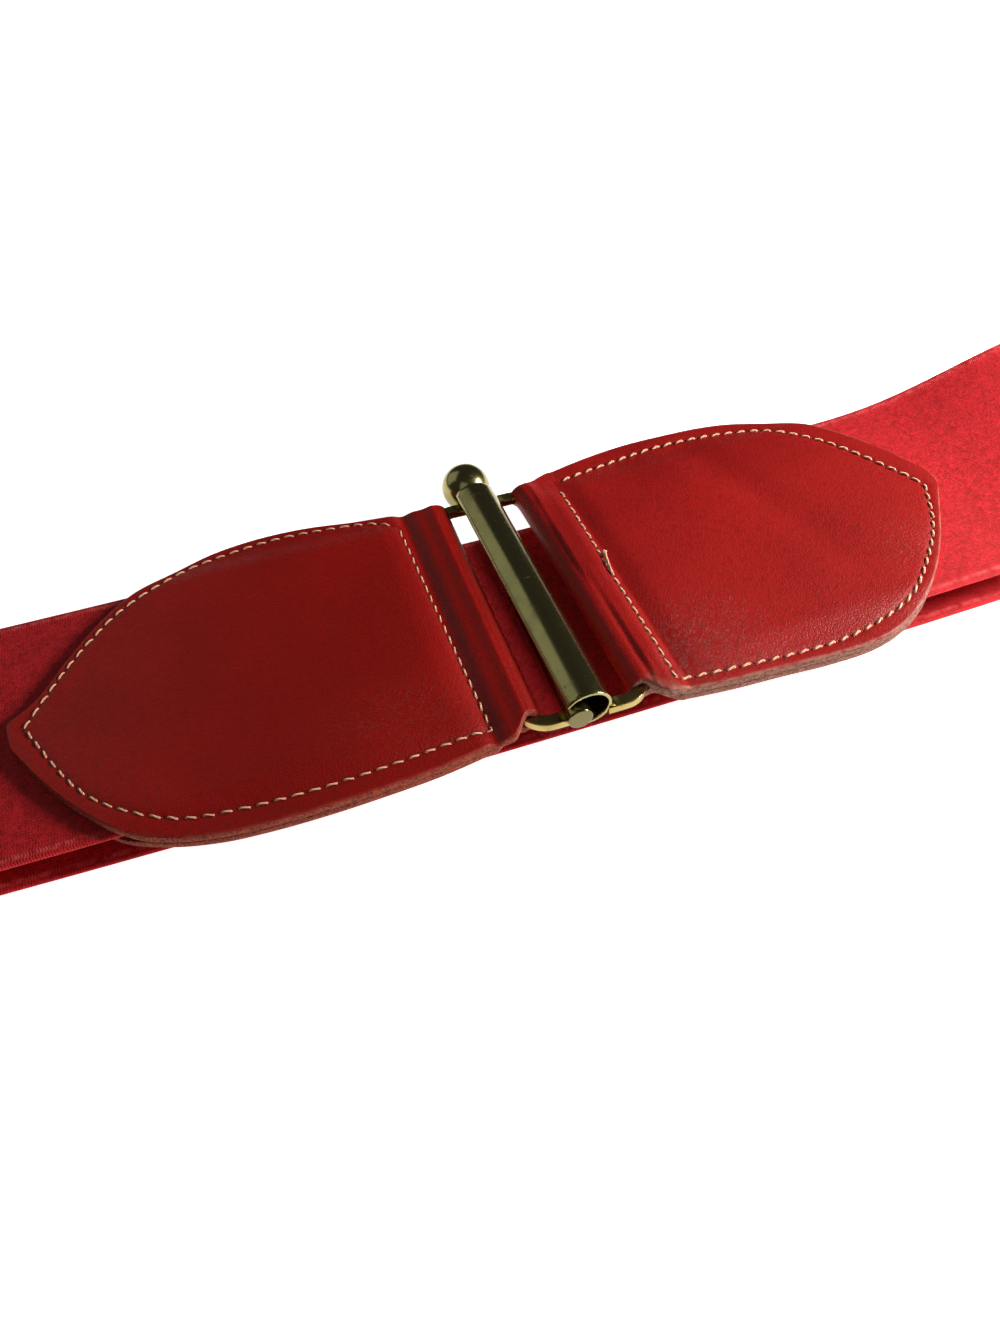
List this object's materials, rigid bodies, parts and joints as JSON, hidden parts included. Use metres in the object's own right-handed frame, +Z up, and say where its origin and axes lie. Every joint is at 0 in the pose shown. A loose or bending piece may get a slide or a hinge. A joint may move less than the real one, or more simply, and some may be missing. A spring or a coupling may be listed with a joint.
{
  "type": "cinch belt",
  "caption": "Wide elastic waist belt with pointed leather tabs and a brass pin-and-tube clasp, fastened and lying flat on its back run.",
  "frame": {"origin": "middle of the outer box in plan, on the floor under the belt's back run", "axes": "+X along the belt towards the tube half's tab, +Y across the band away from the viewer, +Z up from the back run to the front run"},
  "size_m": [0.336, 0.0814, 0.0223],
  "materials": {
    "elastic": "matte knit",
    "left_leather": "smooth, half gloss",
    "right_leather": "smooth, half gloss",
    "pin_brass": "polished",
    "tube_brass": "polished"
  },
  "bodies": {
    "root": {"elastic_band": "elastic", "left_tab": "left_leather", "right_tab": "right_leather", "pin_half": "pin_brass", "tube_half": "tube_brass"}
  },
  "joints": []
}
